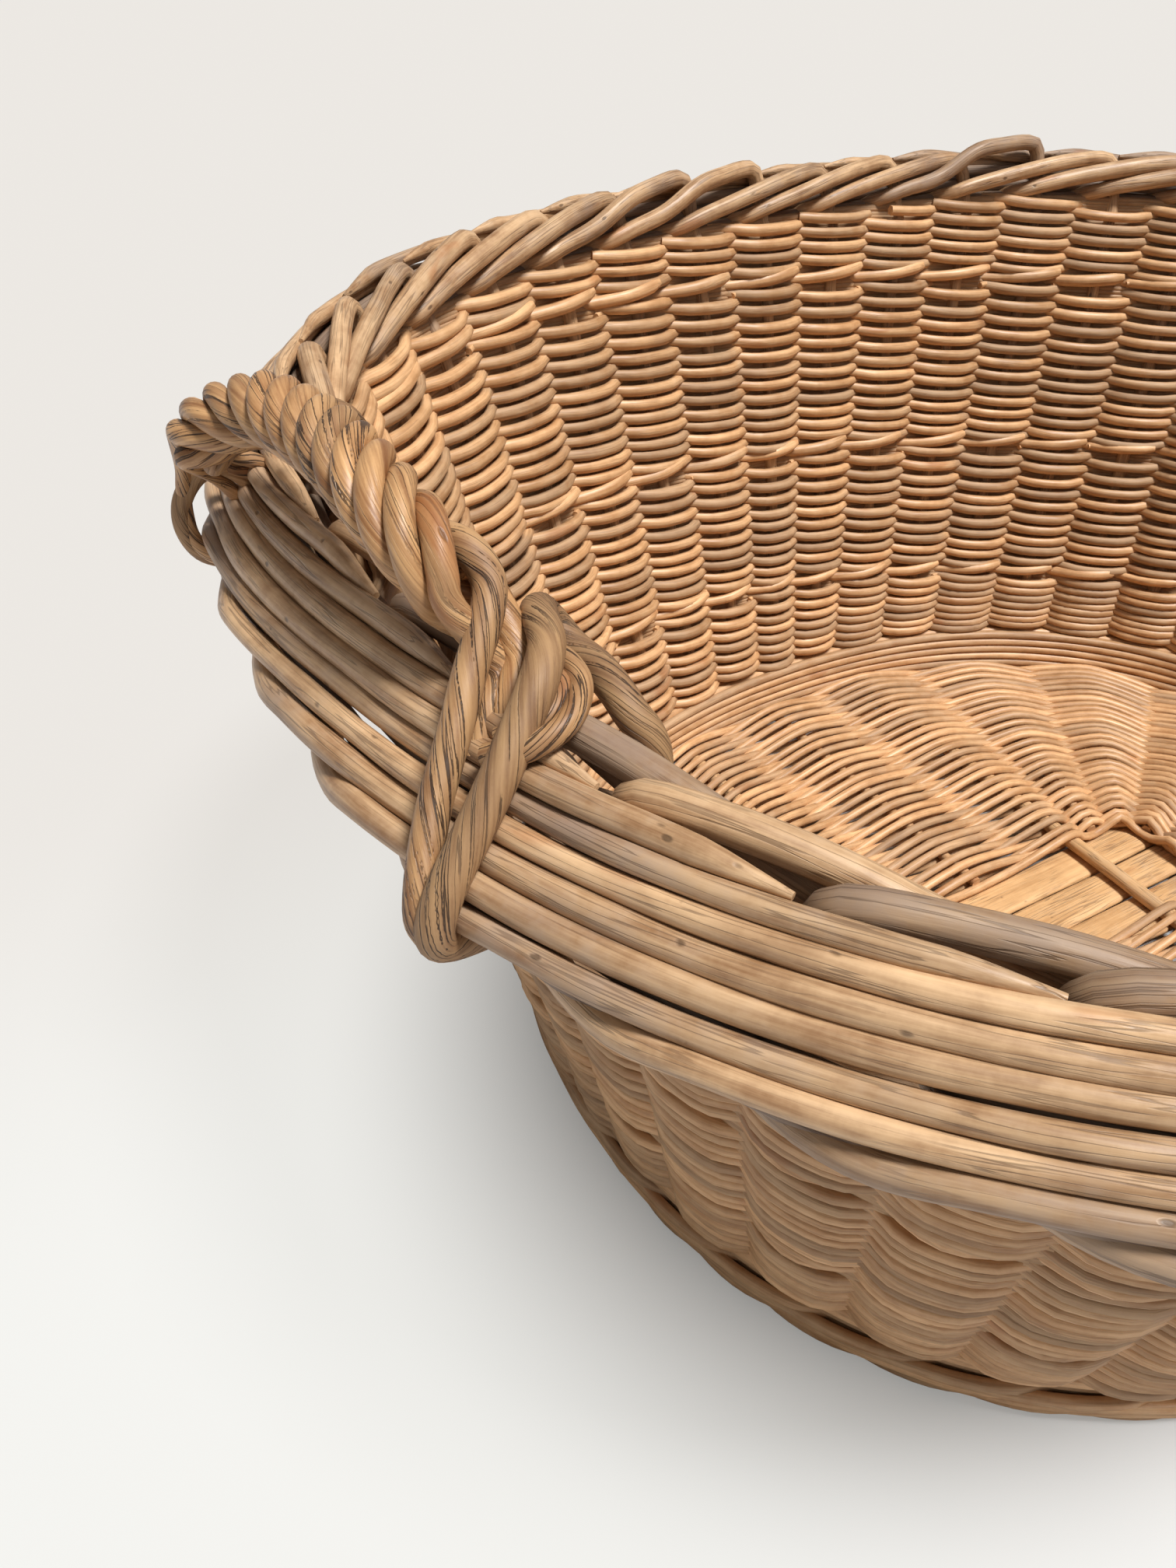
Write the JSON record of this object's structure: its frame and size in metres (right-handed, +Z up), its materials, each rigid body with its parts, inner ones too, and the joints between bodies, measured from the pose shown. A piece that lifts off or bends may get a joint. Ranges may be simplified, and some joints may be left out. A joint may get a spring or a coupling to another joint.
{
  "type": "oval laundry basket",
  "caption": "Open oval woven willow basket with flaring sides, a thick rolled border and a low roped handle over each end.",
  "frame": {"origin": "centre of the basket on the floor", "axes": "+Z up, X along the oval's length, through both handles"},
  "size_m": [0.7384, 0.6217, 0.3396],
  "materials": {
    "border_rods": "peeled willow, weathered",
    "weave": "peeled willow",
    "base_sticks": "peeled willow",
    "handle_rope": "peeled willow, cracked along the grain"
  },
  "bodies": {
    "root": {"stake_rod_01": "border_rods", "stake_rod_02": "border_rods", "stake_rod_03": "border_rods", "stake_rod_04": "border_rods", "stake_rod_05": "border_rods", "stake_rod_06": "border_rods", "stake_rod_07": "border_rods", "stake_rod_08": "border_rods", "stake_rod_09": "border_rods", "stake_rod_10": "border_rods", "stake_rod_11": "border_rods", "stake_rod_12": "border_rods", "stake_rod_13": "border_rods", "stake_rod_14": "border_rods", "stake_rod_15": "border_rods", "stake_rod_16": "border_rods", "stake_rod_17": "border_rods", "stake_rod_18": "border_rods", "stake_rod_19": "border_rods", "stake_rod_20": "border_rods", "stake_rod_21": "border_rods", "stake_rod_22": "border_rods", "stake_rod_23": "border_rods", "stake_rod_24": "border_rods", "stake_rod_25": "border_rods", "stake_rod_26": "border_rods", "stake_rod_27": "border_rods", "stake_rod_28": "border_rods", "stake_rod_29": "border_rods", "stake_rod_30": "border_rods", "stake_rod_31": "border_rods", "stake_rod_32": "border_rods", "stake_rod_33": "border_rods", "stake_rod_34": "border_rods", "stake_rod_35": "border_rods", "stake_rod_36": "border_rods", "stake_rod_37": "border_rods", "stake_rod_38": "border_rods", "stake_rod_39": "border_rods", "stake_rod_40": "border_rods", "stake_rod_41": "border_rods", "stake_rod_42": "border_rods", "stake_rod_43": "border_rods", "stake_rod_44": "border_rods", "side_weave_lower": "weave", "side_weave_middle": "weave", "side_weave_upper": "weave", "foot_wale": "weave", "base_weave": "weave", "long_base_stick_1": "base_sticks", "long_base_stick_2": "base_sticks", "long_base_stick_3": "base_sticks", "cross_base_stick_1": "base_sticks", "cross_base_stick_2": "base_sticks", "handle_rope_left": "handle_rope", "handle_lashing_left_near": "handle_rope", "handle_lashing_left_far": "handle_rope", "handle_rope_right": "handle_rope", "handle_lashing_right_near": "handle_rope", "handle_lashing_right_far": "handle_rope"}
  },
  "joints": []
}
